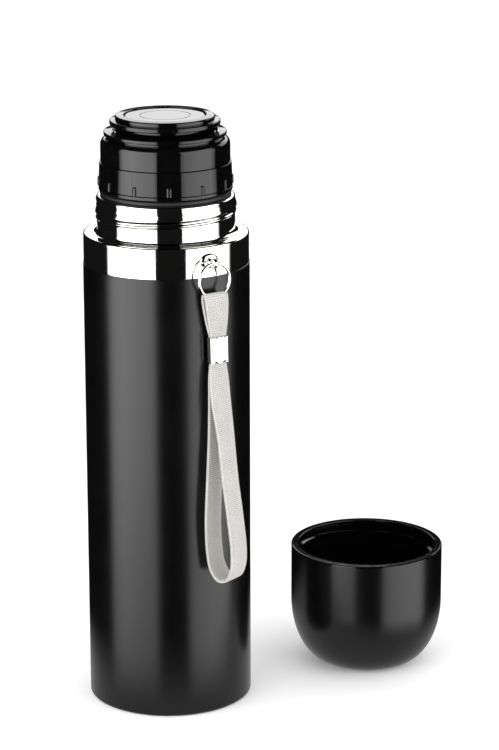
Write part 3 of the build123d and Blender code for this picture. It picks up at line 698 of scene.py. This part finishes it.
def see_through_edge(made, start):
    """Turns a light material see-through from the start place to the panel's edge."""
    tree = made.node_tree
    by_kind = {node.bl_idname: node for node in tree.nodes}
    clear = tree.nodes.new("ShaderNodeBsdfTransparent")
    mix = tree.nodes.new("ShaderNodeMixShader")
    edge = tree.nodes.new("ShaderNodeMapRange")
    edge.interpolation_type = "SMOOTHSTEP"
    edge.inputs["From Min"].default_value = start
    tree.links.new(by_kind["ShaderNodeAttribute"].outputs["Fac"], edge.inputs["Value"])
    tree.links.new(edge.outputs["Result"], mix.inputs[0])
    tree.links.new(by_kind["ShaderNodeEmission"].outputs[0], mix.inputs[1])
    tree.links.new(clear.outputs[0], mix.inputs[2])
    tree.links.new(mix.outputs[0], by_kind["ShaderNodeOutputMaterial"].inputs["Surface"])


def panel(name, points, across, material):
    """A light that shows in reflections and lights the scene, but that the camera doesn't see."""
    made = mesh_object(name, grid(np.array(points) / MM))
    shade = made.data.attributes.new("across", "FLOAT", "POINT")
    shade.data.foreach_set("value", np.array(across, np.float32).ravel())
    made.data.materials.append(material)
    made.visible_camera = False
    made.visible_shadow = False
    return made


def softbox(name, azimuths, heights, distance, stops, fade=NO_FADE):
    """A curved light panel round the flask. Azimuth 0 is where the camera stands, and 90 is +X."""
    angles = np.radians(np.linspace(*azimuths, SOFTBOX_COLUMNS))
    points = [[outward(a) * distance + (0, 0, z) for a in angles] for z in heights]
    across = np.tile(np.linspace(0, 1, SOFTBOX_COLUMNS), 2)
    return panel(name, points, across, emitter(name, stops, fade))


def floor_glow(name, x, y, z, radius):
    """The lit floor close round the flask or the cup, as its lower wall mirrors it."""
    angles = np.linspace(0, 2 * math.pi, GLOW_COLUMNS)
    points = [[outward(a) * r + (x, y, z) for a in angles] for r in np.linspace(0, radius, GLOW_RINGS)]
    across = np.repeat(np.linspace(0, 1, GLOW_RINGS), GLOW_COLUMNS)
    light = emitter(name, GLOW_STOPS, NO_FADE)
    see_through_edge(light, GLOW_EDGE)
    glow = panel(name, points, across, light)
    glow.visible_diffuse = False


def make_world():
    """An even white surround, which the glossy pieces don't mirror."""
    world = bpy.data.worlds.new("studio")
    world.use_nodes = True
    background = world.node_tree.nodes["Background"]
    background.inputs["Color"].default_value = (1, 1, 1, 1)
    background.inputs["Strength"].default_value = 1.0
    world.cycles_visibility.glossy = False
    scene.world = world


def make_lights():
    """Two side panels, a high one at the back, dim walls, and the floor's glow round the feet."""
    softbox("softbox_left", (-87, -13), (-0.6, 0.68), SIDE_DISTANCE, LEFT_STOPS, (-0.5, -0.02))
    softbox("softbox_right", (28, 99.5), (-0.9, 0.68), SIDE_DISTANCE, RIGHT_STOPS, (-0.75, -0.05))
    softbox("softbox_back", (120, 200), (0.375, 0.72), BACK_DISTANCE, BACK_STOPS)
    walls = softbox("walls", (-180, 180), (-1.2, 2.0), WALL_DISTANCE, WALL_STOPS)
    walls.visible_diffuse = False
    floor_glow("flask_glow", 0, 0, 0, 0.115)
    floor_glow("cup_glow", 0.083, 0.035, -0.0001, 0.1)


def make_floor():
    """A matt pale floor, 0.2 mm under the part so that the glow lies on top of it."""
    ends = (-FLOOR_HALF_W, FLOOR_HALF_W)
    floor = mesh_object("floor", grid([[(x, y, -0.2) for x in ends] for y in ends]))
    floor.visible_glossy = False
    paint = bpy.data.materials.new("floor_paint")
    paint.use_nodes = True
    shader = paint.node_tree.nodes["Principled BSDF"]
    shader.inputs["Base Color"].default_value = (0.92, 0.92, 0.92, 1)
    shader.inputs["Roughness"].default_value = 1.0
    shader.inputs["Specular IOR Level"].default_value = 0.0
    shader.inputs["Emission Color"].default_value = (1, 1, 1, 1)
    shader.inputs["Emission Strength"].default_value = 0.12
    floor.data.materials.append(paint)


# ---------------------------------------------------------------- materials

class Recipe:
    """A node material in the making, with the object's own coordinates in metres."""

    def __init__(self, name, **constants):
        self.material = bpy.data.materials.new(name)
        self.material.use_nodes = True
        self.tree = self.material.node_tree
        self.shader = self.tree.nodes["Principled BSDF"]
        for socket, value in constants.items():
            self.shader.inputs[socket.replace("_", " ")].default_value = value
        self.place = self.node("ShaderNodeTexCoord").outputs["Object"]

    def node(self, kind, **inputs):
        made = self.tree.nodes.new(kind)
        for socket, value in inputs.items():
            self.feed(made.inputs[socket.replace("_", " ")], value)
        return made

    def feed(self, socket, value):
        if isinstance(value, bpy.types.NodeSocket):
            self.tree.links.new(value, socket)
        else:
            socket.default_value = value

    def math(self, operation, first, second=0.0):
        made = self.tree.nodes.new("ShaderNodeMath")
        made.operation = operation
        self.feed(made.inputs[0], first)
        self.feed(made.inputs[1], second)
        return made.outputs[0]

    def noise(self, scale, detail, stretch=(1, 1, 1)):
        mapped = self.node("ShaderNodeMapping", Vector=self.place, Scale=stretch)
        made = self.node("ShaderNodeTexNoise", Vector=mapped.outputs[0], Scale=scale, Detail=detail)
        return made.outputs["Fac"]

    def spread(self, factor, low, high):
        """Maps a noise factor to a number between low and high."""
        made = self.node("ShaderNodeMapRange", Value=factor)
        made.inputs["From Min"].default_value = 0.3
        made.inputs["From Max"].default_value = 0.7
        made.inputs["To Min"].default_value = low
        made.inputs["To Max"].default_value = high
        return made.outputs["Result"]

    def shades(self, factor, dark, light, start=0.3, end=0.7):
        """A colour between dark and light."""
        made = self.tree.nodes.new("ShaderNodeValToRGB")
        made.color_ramp.elements[0].position = start
        made.color_ramp.elements[0].color = (*dark, 1)
        made.color_ramp.elements[1].position = end
        made.color_ramp.elements[1].color = (*light, 1)
        self.feed(made.inputs["Fac"], factor)
        return made.outputs["Color"]

    def bump(self, height, depth, normal=None):
        """Raises the surface by height times depth, in metres."""
        made = self.node("ShaderNodeBump", Height=height, Distance=depth, Strength=1.0)
        if normal is not None:
            self.feed(made.inputs["Normal"], normal)
        self.feed(self.shader.inputs["Normal"], made.outputs[0])
        return made.outputs[0]

    def set(self, socket, value):
        self.feed(self.shader.inputs[socket], value)


def black_paint():
    """Satin powder coat: a fine even grain, slightly uneven in gloss."""
    made = Recipe("black_paint", IOR=1.5)
    cloud = made.noise(60, 4)
    grain = made.noise(5200, 2)
    made.set("Base Color", made.shades(cloud, (0.0012, 0.0012, 0.0013), (0.0022, 0.0022, 0.0023)))
    made.set("Roughness", made.spread(cloud, 0.215, 0.235))
    made.bump(grain, 0.000006)
    return made.material


def polished_steel():
    """Mirror-polished stainless steel with faint lines round the flask."""
    made = Recipe("polished_steel", Metallic=1.0)
    lines = made.noise(900, 3, stretch=(0.02, 0.02, 6))
    cloud = made.noise(90, 3)
    made.set("Base Color", made.shades(cloud, (0.87, 0.855, 0.83), (0.91, 0.895, 0.87)))
    made.set("Roughness", made.spread(lines, 0.035, 0.07))
    made.bump(lines, 0.0000001)
    return made.material


def brushed_steel():
    """Stainless steel with brush lines round the flask."""
    made = Recipe("brushed_steel", Metallic=1.0)
    lines = made.noise(1500, 4, stretch=(0.03, 0.03, 5))
    made.set("Base Color", made.shades(lines, (0.50, 0.49, 0.47), (0.64, 0.63, 0.61)))
    made.set("Roughness", made.spread(lines, 0.24, 0.36))
    made.bump(lines, 0.000006)
    return made.material


def gloss_plastic():
    """Glossy black moulding with a faint flow ripple."""
    made = Recipe("black_gloss_plastic", IOR=1.5)
    ripple = made.noise(180, 2)
    cloud = made.noise(700, 3)
    made.set("Base Color", made.shades(ripple, (0.0012, 0.0012, 0.0012), (0.0022, 0.0022, 0.0023)))
    made.set("Roughness", made.spread(cloud, 0.04, 0.075))
    made.bump(ripple, 0.00001)
    return made.material


def webbing_fabric():
    """Light grey woven polyester, darker in the weave's gaps as painted shade. The yarns attribute counts warp
    ribs across and weft yarns along.
    """
    made = Recipe(
        "grey_webbing",
        Roughness=0.75,
        Sheen_Weight=0.25,
        Sheen_Roughness=0.4,
        Specular_IOR_Level=0.3,
    )
    yarns = made.tree.nodes.new("ShaderNodeAttribute")
    yarns.attribute_name = "yarns"
    split = made.node("ShaderNodeSeparateXYZ", Vector=yarns.outputs["Vector"])
    rib, pick = split.outputs[0], split.outputs[1]
    ridge = made.math("ABSOLUTE", made.math("SINE", made.math("MULTIPLY", rib, math.pi)))
    over = made.math("COSINE", made.math("MULTIPLY", pick, 2 * math.pi))
    height = made.math("MULTIPLY", ridge, made.math("ADD", over, 1.3))
    fibre = made.noise(9000, 2)
    cloud = made.noise(160, 3)
    # Painted shade: the weave's height darkens the colour in the low gaps between ribs and picks, and the cloud
    # adds random tone.
    lit = made.math("MULTIPLY", height, 0.5)
    gap_shade_and_tone = made.math("ADD", lit, made.math("MULTIPLY", cloud, 0.3))
    made.set("Base Color", made.shades(gap_shade_and_tone, (0.3, 0.288, 0.277), (0.66, 0.635, 0.61), 0.05, 0.72))
    woven = made.bump(height, 0.00012)
    made.bump(fibre, 0.00002, normal=woven)
    return made.material


def plain_plastic(name, dark, light, rough):
    """A moulded plastic or rubber with a fine grain."""
    made = Recipe(name, IOR=1.49)
    grain = made.noise(2600, 3)
    cloud = made.noise(120, 3)
    made.set("Base Color", made.shades(cloud, dark, light))
    made.set("Roughness", made.spread(grain, rough - 0.05, rough + 0.05))
    made.bump(grain, 0.00001)
    return made.material


def dull_metal(name, dark, light, rough):
    """A metal with an uneven, unpolished skin."""
    made = Recipe(name, Metallic=1.0)
    grain = made.noise(1400, 4)
    made.set("Base Color", made.shades(grain, dark, light))
    made.set("Roughness", made.spread(grain, rough - 0.06, rough + 0.06))
    made.bump(grain, 0.00001)
    return made.material


# Slot: (darkest colour, lightest colour, roughness).
PLASTICS = {
    "black_satin_plastic": ((0.006, 0.006, 0.006), (0.01, 0.01, 0.01), 0.45),
    "natural_plastic": ((0.68, 0.68, 0.65), (0.76, 0.76, 0.73), 0.4),
    "silicone": ((0.006, 0.006, 0.006), (0.010, 0.010, 0.010), 0.5),
    "foam": ((0.72, 0.70, 0.62), (0.84, 0.82, 0.75), 0.8),
}
METALS = {
    "brass_braze": ((0.50, 0.34, 0.14), (0.74, 0.54, 0.26), 0.32),
    "getter_alloy": ((0.20, 0.20, 0.21), (0.34, 0.34, 0.35), 0.5),
    "copper_foil": ((0.66, 0.34, 0.20), (0.82, 0.47, 0.32), 0.22),
    "spring_steel": ((0.42, 0.42, 0.43), (0.58, 0.58, 0.59), 0.25),
}


def make_materials():
    """One material for each of the record's slots."""
    made = {
        "black_paint": black_paint(),
        "polished_steel": polished_steel(),
        "brushed_steel": brushed_steel(),
        "black_gloss_plastic": gloss_plastic(),
        "grey_webbing": webbing_fabric(),
    }
    made.update({slot: plain_plastic(slot, *look) for slot, look in PLASTICS.items()})
    made.update({slot: dull_metal(slot, *look) for slot, look in METALS.items()})
    return made


def dress_cad(materials):
    """Gives every CAD node the material of its slot."""
    for part in frame["record"]["subparts"]:
        made = nodes[part["node"]]
        made.data.materials.clear()
        made.data.materials.append(materials[part["material_slot"]])


scene.view_settings.view_transform = "Standard"
make_camera()
make_world()
make_lights()
make_floor()
materials = make_materials()
dress_cad(materials)
make_neck(materials["polished_steel"])
make_grip_ring(materials["black_gloss_plastic"])
make_spring(materials["spring_steel"])
make_lug(materials["polished_steel"])
make_webbing(materials["grey_webbing"])
make_clip(materials["polished_steel"])
